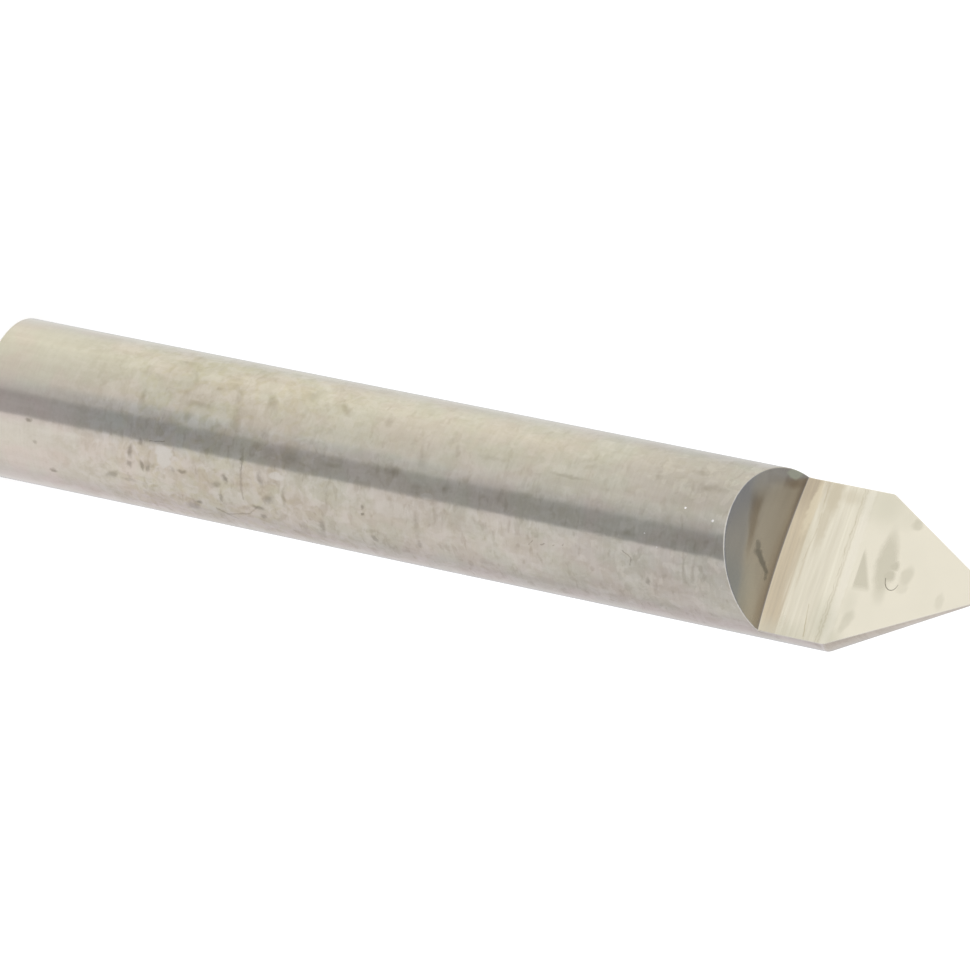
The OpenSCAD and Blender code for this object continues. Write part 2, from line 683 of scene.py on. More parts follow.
def patches_mask(s, place, per_millimetre, level, edge, detail=2.0):
    """Blotches: 1 where the noise is over its level by the edge, and 0 where it is as far under it."""
    values = {"Per Millimetre": per_millimetre, "Level": level, "Edge": edge, "Detail": detail}
    return s.group(PATCHES, {"Place": place, **values})["Mask"]


def grinding_lines(s, place, per_millimetre, length):
    """A wheel's fine and broad lines, close together in the place's first direction."""
    return s.group(GRINDING, {"Place": place, "Lines Per Millimetre": per_millimetre, "Line Length": length})


def with_worn_and_highlit_edge(s, place, colour, rub_and_highlight_strength):
    """The colour, with bare metal and a painted edge highlight over it along the edges."""
    return s.group(WORN_AND_HIGHLIT_EDGE, {"Place": place, "Colour": colour, "Rub And Highlight": rub_and_highlight_strength})["Colour"]


def ragged(s, flat_place, place, per_millimetre, shift):
    """A flat place moved about by noise, so that a mark's outline wavers."""
    wander = s.vector("SUBTRACT", s.noise(place, per_millimetre, 2.0)["Color"], (0.5, 0.5, 0.5))
    return s.vector("ADD", flat_place, s.scaled(wander, shift))


def spots_mask(s, place, spots, edge=0.35):
    """The strongest of several spots, each (across, up, half width, half height, turn, strength), with the
    turn in degrees."""
    masks = []
    for across, up, half_width, half_height, turn, strength in spots:
        values = {
            "Place": place,
            "Middle": (across, up, 0),
            "Half Size": (half_width, half_height, 1),
            "Turn": math.radians(-turn),
            "Edge": edge,
        }
        masks.append(s.times(s.group(SPOT, values)["Mask"], strength))
    return s.strongest(masks)


def strokes_mask(s, place, strokes):
    """The strongest of several lines, each (across, up, across at its end, up at its end, half width,
    strength)."""
    masks = []
    for across, up, end_across, end_up, half_width, strength in strokes:
        values = {
            "Place": place,
            "Start": (across, up, 0),
            "Span": (end_across - across, end_up - up, 0),
            "Half Width": half_width,
        }
        masks.append(s.times(s.group(STROKE, values)["Mask"], strength))
    return s.strongest(masks)


def finish_with_bump(s, shader, colour, roughness, height):
    """Feeds the shader its colour, its roughness and a bump from a height in millimetres."""
    bump = s.node("ShaderNodeBump", {"Strength": 1.0, "Distance": MM, "Height": height})
    s.feed(shader.inputs["Base Color"], colour)
    s.feed(shader.inputs["Roughness"], roughness)
    s.feed(shader.inputs["Normal"], bump.outputs[0])


def spots_by_angle(spots):
    """Spots on the wall with their angles from the -Y side, in degrees, turned into arcs in millimetres."""
    return [(math.radians(angle) * SHANK_RADIUS, *others) for angle, *others in spots]


def strokes_by_angle(strokes):
    """Lines on the wall with the angles of both their ends turned into arcs."""
    arc = math.radians(1) * SHANK_RADIUS
    return [(angle * arc, z, end * arc, *others) for angle, z, end, *others in strokes]


# Marks on the shank as (angle, height, half along the arc, half up the shank, turn, strength)
DARK_SPECKS = [
    (34, 2.8, 0.1, 0.14, 0, 0.8),
    (50, 3.2, 0.1, 0.12, 0, 0.5),
    (72, 4.0, 0.14, 0.16, 20, 0.8),
    (63, 7.35, 0.16, 0.38, 30, 0.6),
    (65, 8.2, 0.1, 0.35, 0, 0.4),
    (41.5, 8.4, 0.3, 0.12, 0, 0.7),
    (52, 8.35, 0.16, 0.12, 0, 0.7),
    (34, 8.9, 0.16, 0.12, 30, 0.6),
    (51, 9.0, 0.26, 0.09, 20, 0.7),
    (52, 9.35, 0.18, 0.09, 0, 0.6),
    (49, 10.7, 0.12, 0.12, 0, 0.4),
    (49, 11.2, 0.1, 0.24, 0, 0.7),
    (48, 13.5, 0.2, 0.14, 30, 0.9),
    (54, 13.0, 0.16, 0.24, 40, 0.6),
    (64, 13.2, 0.22, 0.1, 0, 0.5),
    (73, 11.9, 0.12, 0.18, 0, 0.8),
    (79, 11.5, 0.25, 0.35, 0, 0.5),
    (43, 15.35, 0.32, 0.14, 15, 0.6),
    (34, 14.3, 0.35, 0.06, 0, 0.6),
    (66, 15.15, 0.12, 0.28, 0, 0.7),
    (74, 15.3, 0.14, 0.16, 0, 0.6),
    (57.5, 15.75, 0.2, 0.28, 40, 0.6),
    (52.5, 16.6, 0.45, 0.08, 0, 0.4),
    (71, 18.45, 0.34, 0.16, 0, 0.6),
    (75, 17.5, 0.25, 0.12, 0, 0.3),
    (47.7, 20.7, 0.1, 0.08, 0, 0.7),
    (53, 20.7, 0.08, 0.09, 0, 0.9),
    (73, 21.2, 0.2, 0.12, 30, 0.6),
    (69, 23.6, 0.2, 0.12, 0, 0.5),
    (73, 27.0, 0.2, 0.3, 0, 0.3),
    (59, 35.3, 0.2, 0.1, 0, 0.6),
]
STAINS = [
    (50, 23.5, 0.5, 0.15, 0, 0.55),
    (60, 23.55, 0.35, 0.1, 0, 0.35),
    (7, 23.4, 0.4, 0.24, 10, 0.5),
    (19, 22.1, 0.2, 0.36, 0, 0.6),
    (27, 23.4, 0.22, 0.26, 0, 0.6),
    (23, 24.9, 0.24, 0.22, 0, 0.5),
    (17, 28.7, 0.12, 0.4, 0, 0.4),
    (28, 34.1, 0.14, 0.44, 0, 0.5),
    (24, 16.8, 0.22, 0.42, 0, 0.6),
    (23, 15.6, 0.2, 0.3, 0, 0.4),
    (23, 19.0, 0.1, 0.45, 0, 0.5),
    (10, 11.1, 0.22, 0.2, 0, 0.4),
    (11, 15.2, 0.24, 0.14, 0, 0.5),
    (8, 13.6, 0.34, 0.24, 0, 0.45),
    (1, 8.5, 0.34, 0.14, 0, 0.45),
    (0, 11.4, 0.14, 0.6, 0, 0.5),
    (-13, 13.3, 0.34, 0.14, 20, 0.4),
    (-14, 15.0, 0.45, 0.16, 35, 0.5),
    (-15, 12.1, 0.1, 0.14, 0, 0.5),
    (-23, 10.6, 0.6, 0.13, 40, 0.45),
    (-35, 9.8, 0.15, 0.5, 0, 0.4),
    (-27, 12.8, 0.13, 0.5, 0, 0.4),
    (-26, 16.8, 0.3, 0.24, 0, 0.5),
    (-21, 18.6, 0.45, 0.13, 35, 0.55),
    (-16, 21.1, 0.26, 0.16, 0, 0.45),
    (-5, 24.9, 0.32, 0.1, 20, 0.4),
    (-4, 26.6, 0.12, 0.5, 0, 0.35),
    (-2, 30.6, 0.08, 0.75, 0, 0.5),
    (-16, 34.8, 0.24, 0.14, 0, 0.45),
    (-26, 36.7, 0.14, 0.4, 0, 0.5),
    (-15, 37.6, 0.16, 0.6, 0, 0.4),
    (70, 32.6, 0.4, 0.8, 0, 0.35),
    (-26, 10.3, 1.4, 1.8, 0, 0.2),
    (-40, 13.0, 0.8, 1.6, 0, 0.2),
    (45, 25.4, 0.5, 1.2, 0, 0.25),
    (45, 37.5, 0.45, 0.07, 0, 0.45),
    (43, 37.0, 0.35, 0.06, 0, 0.4),
]
LIGHT_PATCHES = [
    (38, 10.2, 0.3, 0.46, 0, 0.9),
    (44, 10.2, 0.3, 0.4, 0, 0.9),
    (38.5, 16.2, 0.2, 0.4, 0, 0.7),
    (31, 24.0, 0.16, 0.34, 0, 0.5),
    (45, 22.3, 0.4, 1.0, 0, 0.35),
]
BRIGHT_SPECKS = [
    (3.5, 36.6, 0.05, 0.05, 0, 1.0),
    (8.5, 38.05, 0.06, 0.05, 0, 1.0),
    (25.5, 34.95, 0.04, 0.04, 0, 0.5),
    (33, 35.65, 0.035, 0.035, 0, 0.4),
]
# Thin marks as (angle, height, angle at the end, height there, half width, strength)
NICKS = [
    (32, 9.4, 30, 10.2, 0.035, 0.9),
    (50, 29.3, 46, 29.5, 0.04, 0.7),
    (48, 29.9, 47, 30.1, 0.05, 0.7),
    (47, 30.5, 46, 30.6, 0.04, 0.6),
    (45, 31.0, 42, 31.2, 0.04, 0.7),
    (40, 34.0, 44, 34.45, 0.05, 0.6),
    (44, 34.45, 49, 34.4, 0.06, 0.7),
    (37, 14.3, 61, 14.4, 0.08, 0.45),
    (76, 12.8, 81, 13.4, 0.09, 0.6),
    (81, 13.4, 84, 13.8, 0.08, 0.4),
    (80, 13.4, 74, 14.6, 0.08, 0.5),
    (74, 14.6, 66, 15.1, 0.07, 0.4),
]
# Faint tints along the shank, as (angle, height, half along the arc, half up the shank, turn, strength)
PURPLE_STAINS = [
    (25, 1.0, 0.8, 2.8, 0, 1.0),
    (22, 17.5, 0.6, 2.4, 0, 0.6),
]
BLUE_STAINS = [
    (12, 9.0, 0.3, 5.0, 0, 0.8),
    (11, 20.0, 0.22, 4.0, 0, 0.4),
    (24, 8.6, 0.7, 4.0, 0, 0.9),
]


# Heights on the shank between which its tone goes from one state to the next
PALE_SIDE = (17.0, 0.0)
GREYER = (16.0, 34.0)
BESIDE_THE_RIM = (29.0, 38.5)
CLEAN_END = (1.5, 8.0)
LESS_HANDLED = (17.0, 23.0)
SMEARED = (5.0, 9.0)
SOOTY_FROM = (6.0, 9.0)
SOOTY_TO = (14.0, 22.0)
RINGED = (18.0, 34.0)
# Arcs between which the wall's cleaner -X half goes over into its more handled +X half
ACROSS_THE_MIDDLE = (0.0, 2.2)
# Places across the bit between which the wear and painted highlight of a rim grow, from its -X side to its +X
# side
RIM_RUB_AND_HIGHLIGHT = (-2.8, 0.6)


def shank_material():
    """The shank: ground all round, and stained and blotched by handling."""
    material, s, shader = new_metal("shank_ground_and_stained")
    place, wall, _, _ = places_on_bit(s)
    x, y, z = s.split(place)
    arc = s.split(wall)[0]
    # The grinding follows the height plus the radius, so it rings the wall and circles the end face
    radius = s.vector("LENGTH", s.joined(x, y))
    lines = grinding_lines(s, s.joined(s.plus(z, radius), x, y), 7.0, 2.2)
    # Noises at this place are unlike those at the first one
    shifted = s.vector("ADD", place, (31, 17, 5))

    # Broad changes of tone: paler below on the +X side, greyer towards the run-out
    pale_side = s.times(s.smooth(arc, 0.9, 1.9), s.smooth(arc, 11.0, 8.0))
    pale_side = s.times(pale_side, s.straight(z, *PALE_SIDE, 0.0, 0.62))
    broad = s.noise(s.vector("MULTIPLY", place, (1, 1, 0.5)), 0.35, 2.0)["Fac"]
    colour = s.blend(broad, linear(203, 197, 182), linear(197, 192, 179))
    colour = s.blend(pale_side, colour, linear(224, 215, 202))
    colour = s.tint(s.smooth(z, *GREYER), colour, (0.96, 0.965, 0.99, 1))
    by_the_rim = s.times(s.smooth(z, *BESIDE_THE_RIM), s.smooth(arc, 6.0, 2.6, 0.0, 1.1))
    by_the_rim = s.times(by_the_rim, s.smooth(s.off(arc, 1.2), 0.6, 2.0, 0.3, 1.0))
    colour = s.tint(by_the_rim, colour, (0.845, 0.855, 0.87, 1))
    hue = s.noise(shifted, 0.55, 3.0)["Fac"]
    hues = s.blend(s.smooth(hue, 0.4, 0.6), (0.98, 0.995, 0.965, 1), (1.0, 0.975, 0.965, 1))
    colour = s.tint(1.0, colour, hues)

    # Blotches and short smears, least at the end of the shank
    handled = s.times(s.smooth(z, *CLEAN_END, 0.3, 1.0), s.smooth(z, *LESS_HANDLED, 1.0, 0.7))
    handled = s.times(handled, s.smooth(arc, *ACROSS_THE_MIDDLE, 0.72, 1.0))
    blotched = s.times(patches_mask(s, place, 0.7, 0.5, 0.05, 3.0), s.times(handled, 0.6))
    spotted = s.times(patches_mask(s, place, 2.1, 0.54, 0.05), s.times(handled, 0.55))
    paled = s.times(patches_mask(s, shifted, 1.3, 0.56, 0.04), s.times(handled, 0.35))
    smeared = s.noise(s.vector("MULTIPLY", shifted, (0.5, 0.5, 1.0)), 2.5, 2.0, 0.5, 0.3)["Fac"]
    smears = s.times(s.smooth(smeared, 0.56, 0.7), s.smooth(z, *SMEARED, 0.1, 0.55))
    smears = s.times(smears, s.smooth(arc, *ACROSS_THE_MIDDLE, 0.7, 1.15))
    sooty = s.times(s.smooth(z, *SOOTY_FROM), s.smooth(z, *SOOTY_TO, 1.0, 0.3))
    olive = s.times(patches_mask(s, shifted, 1.6, 0.55, 0.07, 1.0), sooty)
    colour = s.tint(blotched, colour, (0.88, 0.865, 0.82, 1))
    colour = s.tint(spotted, colour, (0.89, 0.88, 0.85, 1))
    colour = s.blend(paled, colour, linear(214, 208, 196))
    colour = s.tint(smears, colour, (0.8, 0.785, 0.75, 1))
    colour = s.tint(olive, colour, (0.965, 0.96, 0.905, 1))
    streaks = s.noise(s.vector("MULTIPLY", shifted, (1.6, 1.6, 0.14)), 1.4, 3.0)["Fac"]
    colour = s.tint(s.straight(streaks, 0.35, 0.65, 0.0, 0.5), colour, (0.92, 0.9, 0.905, 1))
    ringed = s.times(s.straight(lines["Fine"], 0.35, 0.65), s.smooth(z, *RINGED, 0.6, 1.0))
    colour = s.tint(ringed, colour, grey(0.955))

    # Marks listed one by one
    wavering = ragged(s, wall, place, 3.0, 0.3)
    colour = s.tint(spots_mask(s, wall, spots_by_angle(PURPLE_STAINS), 0.5), colour, (1.0, 0.95, 0.99, 1))
    colour = s.tint(spots_mask(s, wall, spots_by_angle(BLUE_STAINS), 0.8), colour, (0.86, 0.9, 0.95, 1))
    colour = s.tint(spots_mask(s, wavering, spots_by_angle(DARK_SPECKS), 0.7), colour, (0.5, 0.49, 0.455, 1))
    colour = s.tint(spots_mask(s, wavering, spots_by_angle(STAINS), 0.85), colour, (0.68, 0.665, 0.62, 1))
    nicks = strokes_mask(s, ragged(s, wall, place, 4.0, 0.16), strokes_by_angle(NICKS))
    colour = s.tint(nicks, colour, (0.6, 0.585, 0.55, 1))
    light = spots_mask(s, wavering, spots_by_angle(LIGHT_PATCHES), 0.25)
    colour = s.blend(light, colour, linear(208, 203, 191))
    bright = spots_mask(s, wall, spots_by_angle(BRIGHT_SPECKS))
    colour = s.blend(bright, colour, linear(250, 248, 244))
    # Bare metal and a painted highlight along the edges, growing across the rim towards +X
    colour = with_worn_and_highlit_edge(s, place, colour, s.smooth(x, *RIM_RUB_AND_HIGHLIGHT, 0.1, 0.4))

    roughness = s.raised(0.1, blotched, 0.07)
    roughness = s.raised(roughness, spotted, 0.03)
    roughness = s.raised(roughness, bright, 0.4)
    waves = s.times(s.noise(place, 0.8, 2.0)["Fac"], 0.007)
    dents = s.raised(waves, s.noise(place, 3.0, 2.0)["Fac"], 0.0013)
    finish_with_bump(s, shader, colour, roughness, s.raised(dents, lines["Fine"], 0.0006))
    return material


# Bounds on the flat, as heights over the foot: the tan band, the first wheel line and the second
TAN_BAND = 0.93
FIRST_WHEEL_LINE = 2.94
SECOND_WHEEL_LINE = 3.7
# Heights over the first wheel line of the fainter line beside it and of the painted highlight along a ridge
FAINT_LINE = 0.13
RIDGE_HIGHLIGHT = 0.4
WHEEL_LINE_HALF_WIDTH = 0.04
# One smudge is a wedge: the height of its foot, and two places (across, height) on its slanting upper edge
WEDGE_FOOT = 44.05
WEDGE_LOW = (-1.25, WEDGE_FOOT)
WEDGE_HIGH = (0.9, 44.9)

# Marks on the flat as (across, height, half across, half up, turn, strength)
FLAT_SMUDGES = [
    (-0.45, 45.32, 1.6, 0.44, 4, 0.8),
    (-0.1, 46.45, 0.5, 0.26, 0, 0.55),
    (0.5, 46.4, 0.3, 0.24, 0, 0.3),
    (-0.5, 45.75, 0.26, 0.26, 0, 0.95),
    (0.08, 45.65, 0.36, 0.3, 0, 0.95),
    (-2.67, 46.2, 0.26, 0.3, 0, 0.6),
    (0.8, 48.3, 0.45, 0.2, 0, 0.35),
    (2.6, 44.35, 0.6, 0.26, -15, 0.5),
    (3.2, 41.4, 0.3, 0.16, 0, 0.4),
]
SOFT_SMUDGES = [
    (-3.4, 44.5, 1.0, 1.0, 0, 0.5),
    (-2.9, 45.6, 0.5, 0.6, 0, 0.3),
    (3.0, 43.3, 1.1, 0.55, 0, 0.6),
    (3.7, 43.9, 0.6, 0.5, 0, 0.6),
    (3.9, 42.0, 0.6, 1.6, 0, 0.45),
    (1.8, 44.2, 0.7, 0.3, 0, 0.3),
]
TAN_PATCHES = [
    (-3.3, 41.9, 1.1, 0.36, 0, 0.75),
    (-2.0, 41.8, 1.3, 0.24, 0, 0.55),
    (-0.6, 41.25, 1.6, 0.2, 4, 0.4),
    (-3.4, 42.7, 0.35, 0.45, 0, 0.4),
]
CREAM_STREAK = [(-2.5, 41.08, 1.4, 0.2, -4, 0.8)]
# Lines on the flat as (across, height, across at the end, height there, half width, strength)
WHEEL_LINES = [
    (-3.75, 41.5, -1.4, 41.62, 0.03, 0.4),
    (-1.4, 41.62, 0.2, 41.4, 0.03, 0.4),
    (2.2, 42.38, 2.9, 42.46, 0.035, 0.6),
    (2.9, 42.46, 3.8, 42.6, 0.035, 0.9),
]
HOOKED_SCRATCH = [
    (0.19, 45.5, 0.45, 45.56, 0.028, 0.85),
    (0.45, 45.56, 0.62, 45.66, 0.029, 1.0),
    (0.62, 45.66, 0.71, 45.79, 0.029, 1.0),
    (0.71, 45.79, 0.72, 45.92, 0.029, 1.0),
    (0.72, 45.92, 0.66, 46.04, 0.029, 0.95),
    (0.66, 46.04, 0.54, 46.12, 0.029, 0.8),
    (0.54, 46.12, 0.4, 46.17, 0.028, 0.6),
]


def wedge_mask(s, x, z):
    """A smudge under a slanting edge, with a crisp foot on the side of the second wheel line."""
    (low_x, low_z), (high_x, high_z) = WEDGE_LOW, WEDGE_HIGH
    over_edge = s.minus(z, s.straight(x, low_x, high_x, low_z, high_z))
    under_edge = s.smooth(over_edge, 0.12, -0.12)
    over_its_foot = s.smooth(z, WEDGE_FOOT, WEDGE_FOOT + 0.09)
    return s.times(under_edge, over_its_foot, s.smooth(x, 1.15, 0.7, 0.0, 0.85), s.smooth(x, -1.3, -0.6))


def flat_material():
    """The flat: streaked across by the wheel up to two heavier lines, and smooth but smudged beyond them.
    The tan band follows the foot's arc, which rises to both sides by the square of the place across over
    twice the wheel's radius."""
    material, s, shader = new_metal("flat_streaked_by_the_wheel")
    place, _, flat, _ = places_on_bit(s)
    x, z, _ = s.split(flat)
    over_foot = s.minus(z, FOOT_Z)
    from_foot = s.minus(over_foot, s.times(s.times(x, x), 0.5 / WHEEL_RADIUS))
    lines = grinding_lines(s, s.joined(z, x), 9.0, 4.5)
    wide_lines = grinding_lines(s, s.joined(over_foot, x, 3.0), 3.2, 6.0)
    torn = s.noise(s.joined(x, s.times(z, 0.6)), 3.8, 3.0, 0.6)["Fac"]
    wander = s.straight(torn, 0.25, 0.75, -0.075, 0.075)
    wandering = s.plus(over_foot, wander)
    streaky = s.smooth(wandering, SECOND_WHEEL_LINE, SECOND_WHEEL_LINE - 0.12)
    beyond = s.smooth(over_foot, SECOND_WHEEL_LINE + 0.02, SECOND_WHEEL_LINE + 0.16, 0.3, 1.0)

    uneven = s.noise(place, 0.5, 3.0)["Fac"]
    smooth_steel = s.blend(uneven, linear(239, 233, 215), linear(231, 226, 208))
    streaked_steel = s.blend(s.spread(wide_lines["Fine"]), linear(226, 220, 202), linear(239, 234, 216))
    fine_streaks = s.times(s.spread(lines["Fine"]), 0.5)
    streaked_steel = s.tint(fine_streaks, streaked_steel, (0.9, 0.89, 0.85, 1))
    colour = s.blend(streaky, smooth_steel, streaked_steel)

    # The tan band beside the foot, with patches and a cream streak over its upper edge
    over_tan = s.plus(from_foot, s.spread(wide_lines["Fine"], -0.2, 0.2))
    tan = s.times(s.smooth(over_tan, TAN_BAND + 0.3, TAN_BAND - 0.22), s.smooth(x, 3.9, 2.9, 0.5, 1.0))
    tan_colour = s.blend(s.spread(lines["Fine"]), linear(199, 186, 163), linear(212, 198, 172))
    tan_colour = s.tint(s.smooth(x, -1.6, -3.3), tan_colour, (0.8, 0.79, 0.785, 1))
    colour = s.blend(s.times(tan, 0.92), colour, tan_colour)
    drawn_out = s.vector("ADD", flat, s.joined(0.0, wander))
    colour = s.blend(spots_mask(s, drawn_out, TAN_PATCHES, 0.6), colour, linear(203, 193, 169))
    colour = s.blend(spots_mask(s, drawn_out, CREAM_STREAK), colour, linear(224, 213, 187))

    # The first wheel line is torn and dark, with a fainter line beside it and a painted highlight above it,
    # where a ridge would catch the light
    on_line = s.minus(wandering, FIRST_WHEEL_LINE)
    line_strength = s.spread(s.noise(s.joined(x, 4.0), 2.0, 2.0)["Fac"], 0.25, 1.0)
    off_line = s.number("ABSOLUTE", on_line)
    dark_line = s.times(s.smooth(off_line, 0.0, WHEEL_LINE_HALF_WIDTH, 1.0, 0.0), line_strength)
    faint_line = s.smooth(s.off(on_line, FAINT_LINE), 0.0, WHEEL_LINE_HALF_WIDTH, 1.0, 0.0)
    both_lines = s.strongest([dark_line, s.times(faint_line, 0.6)])
    colour = s.tint(both_lines, colour, (0.79, 0.765, 0.71, 1))
    # Painted highlight: a pale band above the first wheel line, standing in for light caught on a ridge
    painted_ridge_highlight = s.smooth(s.off(on_line, RIDGE_HIGHLIGHT), 0.08, 0.34, 1.0, 0.0)
    colour = s.blend(s.times(painted_ridge_highlight, 0.6), colour, linear(243, 238, 223))
    scratches = strokes_mask(s, ragged(s, flat, place, 2.5, 0.1), WHEEL_LINES)
    colour = s.tint(scratches, colour, (0.78, 0.74, 0.66, 1))

    # Smudges, soft ones and then sharper ones, and the hooked scratch
    wavering = ragged(s, flat, place, 1.3, 0.45)
    colour = s.tint(spots_mask(s, wavering, SOFT_SMUDGES, 0.9), colour, (0.74, 0.755, 0.72, 1))
    smudge = s.strongest([spots_mask(s, wavering, FLAT_SMUDGES, 0.42), wedge_mask(s, x, z)])
    smudge = s.times(smudge, beyond)
    colour = s.tint(smudge, colour, (0.74, 0.74, 0.71, 1))
    hook = strokes_mask(s, flat, HOOKED_SCRATCH)
    colour = s.tint(hook, colour, (0.35, 0.34, 0.32, 1))
    # Bare metal and a painted highlight along the flat's edges
    colour = with_worn_and_highlit_edge(s, place, colour, 0.35)

    roughness = s.raised(s.raised(0.24, streaky, 0.03), smudge, 0.05)
    height = s.times(s.times(lines["Fine"], streaky), 0.0012)
    height = s.raised(height, s.times(wide_lines["Fine"], streaky), 0.003)
    height = s.raised(height, dark_line, -0.003)
    height = s.raised(height, hook, -0.002)
    finish_with_bump(s, shader, colour, roughness, height)
    return material


# Marks on the run-out as (across, depth out from the flat, half across, half depth, turn, strength)
RUN_OUT_SHADES = [
    (-2.85, 1.7, 0.2, 0.5, -25, 0.4),
    (-1.7, 2.55, 0.8, 0.3, -10, 0.35),
    (-3.2, 0.85, 0.24, 0.6, -30, 0.85),
]
RUN_OUT_MARK = [
    (0.5, 1.5, 0.26, 0.16, 0, 0.8),
    (0.74, 1.38, 0.17, 0.28, -15, 0.9),
]
OLIVE_PATCH = [(-3.62, 0.85, 0.19, 0.5, -24, 0.9)]
PALE_PATCHES = [
    (2.5, 1.1, 1.1, 0.4, -20, 0.25),
    (-2.25, 2.75, 0.7, 0.5, 0, 0.55),
    (-2.9, 1.85, 0.5, 0.5, -30, 0.3),
]
# Lines on the run-out as (across, depth, across at the end, depth there, half width, strength)
RUN_OUT_SCRATCHES = [
    (0.33, 1.62, 0.7, 1.42, 0.15, 0.7),
    (0.7, 1.42, 1.0, 0.85, 0.24, 1.0),
    (1.0, 0.85, 1.27, 0.54, 0.2, 0.95),
    (1.27, 0.54, 1.6, 0.45, 0.13, 0.7),
]
# Depth out from the flat, at the bit's middle, of the brown band on the run-out
BROWN_BAND_MIDDLE = 2.14


def run_out_material():
    """The run-out: cool and grey towards its rim, brown beside the flat, with a few dark marks."""
    material, s, shader = new_metal("run_out_ground")
    place, _, _, run_out = places_on_bit(s)
    x, depth, _ = s.split(run_out)
    lines = grinding_lines(s, s.joined(depth, x), 7.0, 3.0)
    wide = s.noise(s.joined(s.times(x, 0.4), depth), 1.1, 2.0)["Fac"]
    outwards = s.raised(s.plus(depth, s.spread(wide, -0.15, 0.15)), x, 0.2)
    colour = s.blend(s.smooth(outwards, 2.1, 2.7), linear(188, 181, 167), linear(172, 170, 165))

    # A dark brown band lies along the bound of the cool zone, and narrows towards +X
    reach = s.straight(x, -2.2, 1.4, 0.75, 0.16)
    in_band = s.smooth(s.number("DIVIDE", s.off(outwards, BROWN_BAND_MIDDLE), reach), 1.0, 0.2)
    band = s.times(in_band, s.smooth(x, 1.7, 0.0), s.smooth(x, -2.9, -0.9, 0.1, 1.0))
    colour = s.tint(band, colour, (0.72, 0.675, 0.63, 1))
    by_the_foot = s.times(s.smooth(depth, 0.0, 0.35, 1.0, 0.0), s.smooth(x, 3.4, 1.6, 0.1, 1.0))
    colour = s.tint(by_the_foot, colour, (0.86, 0.84, 0.81, 1))
    cool_corner = s.times(s.smooth(x, 0.9, 2.6), s.smooth(depth, 0.7, 1.7))
    colour = s.tint(cool_corner, colour, (0.89, 0.94, 1.0, 1))
    colour = s.tint(s.spread(lines["Fine"]), colour, grey(0.95))

    wavering = ragged(s, run_out, place, 1.8, 0.3)
    colour = s.tint(spots_mask(s, wavering, RUN_OUT_SHADES, 0.7), colour, (0.68, 0.62, 0.56, 1))
    colour = s.blend(spots_mask(s, wavering, PALE_PATCHES, 0.6), colour, linear(205, 200, 184))
    colour = s.blend(spots_mask(s, wavering, OLIVE_PATCH), colour, linear(206, 207, 182))
    scratches = strokes_mask(s, wavering, RUN_OUT_SCRATCHES)
    marks = s.strongest([spots_mask(s, wavering, RUN_OUT_MARK, 0.5), scratches])
    colour = s.tint(marks, colour, (0.56, 0.57, 0.57, 1))
    # Bare metal and a painted highlight along the edges, growing across the rim towards +X
    colour = with_worn_and_highlit_edge(s, place, colour, s.smooth(x, *RIM_RUB_AND_HIGHLIGHT, 0.2, 0.75))

    height = s.raised(s.times(lines["Fine"], 0.0006), wide, 0.004)
    finish_with_bump(s, shader, colour, s.raised(0.22, marks, 0.1), height)
    return material


# Heights between which the back of the point turns duller towards the shank
DULLER_POINT = (47.0, 44.2)


def point_material():
    """The relieved back of the point: ground round its axis, a little duller than the flat."""
    material, s, shader = new_metal("point_relief_ground")
    place, _, _, _ = places_on_bit(s)
    x, y, z = s.split(place)
    lines = grinding_lines(s, s.joined(z, x, y), 8.0, 2.4)
    blotches = patches_mask(s, place, 0.8, 0.52, 0.08)
    colour = s.blend(s.spread(lines["Fine"]), linear(208, 200, 182), linear(198, 190, 172))
    colour = s.tint(s.smooth(z, *DULLER_POINT), colour, (0.88, 0.87, 0.85, 1))
    colour = s.tint(s.times(blotches, 0.4), colour, (0.86, 0.85, 0.83, 1))
    # Bare metal and a painted highlight along the point's edges
    colour = with_worn_and_highlit_edge(s, place, colour, 0.25)
    height = s.raised(s.times(lines["Fine"], 0.0008), lines["Broad"], 0.002)
    finish_with_bump(s, shader, colour, s.raised(0.23, blotches, 0.05), height)
    return material


# Pieces

def make_bit():
    """The bit as one piece, which stands for the CAD node and rides on the root body."""
    grids = [(settle(grid), finish) for grid, finish in bit_grids()]
    mesh = joined_mesh("ground_bit", grids)
    for material in (shank_material(), run_out_material(), flat_material(), point_material()):
        mesh.materials.append(material)
    bit = bpy.data.objects.new("ground_bit", mesh)
    bpy.context.scene.collection.objects.link(bit)
    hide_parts(NODE)
    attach(bit, BODY)


# Camera, floor and light

CAMERA_PLACE = Vector((81.24, -211.92, 117.34)) * MM
CAMERA_RIGHT = Vector((-0.31907, 0.27221, 0.90780))
CAMERA_FORWARD = Vector((-0.33312, 0.86453, -0.37633))
CAMERA_LENS = 192.67


def make_camera():
    """The camera at the photograph's viewing angle, from its place, its right-hand direction and the
    direction it looks in. Its up direction is square to the other two."""
    camera_data = bpy.data.cameras.new("camera")
    camera_data.lens = CAMERA_LENS
    camera_data.sensor_width = 36.0
    camera_data.clip_start = 0.01
    camera = bpy.data.objects.new("camera", camera_data)
    back = -CAMERA_FORWARD.normalized()
    right = CAMERA_RIGHT.normalized()
    up = back.cross(right)
    turned = Matrix((right, up, back)).transposed().to_4x4()
    camera.matrix_world = Matrix.Translation(CAMERA_PLACE) @ turned
    bpy.context.scene.collection.objects.link(camera)
    bpy.context.scene.camera = camera


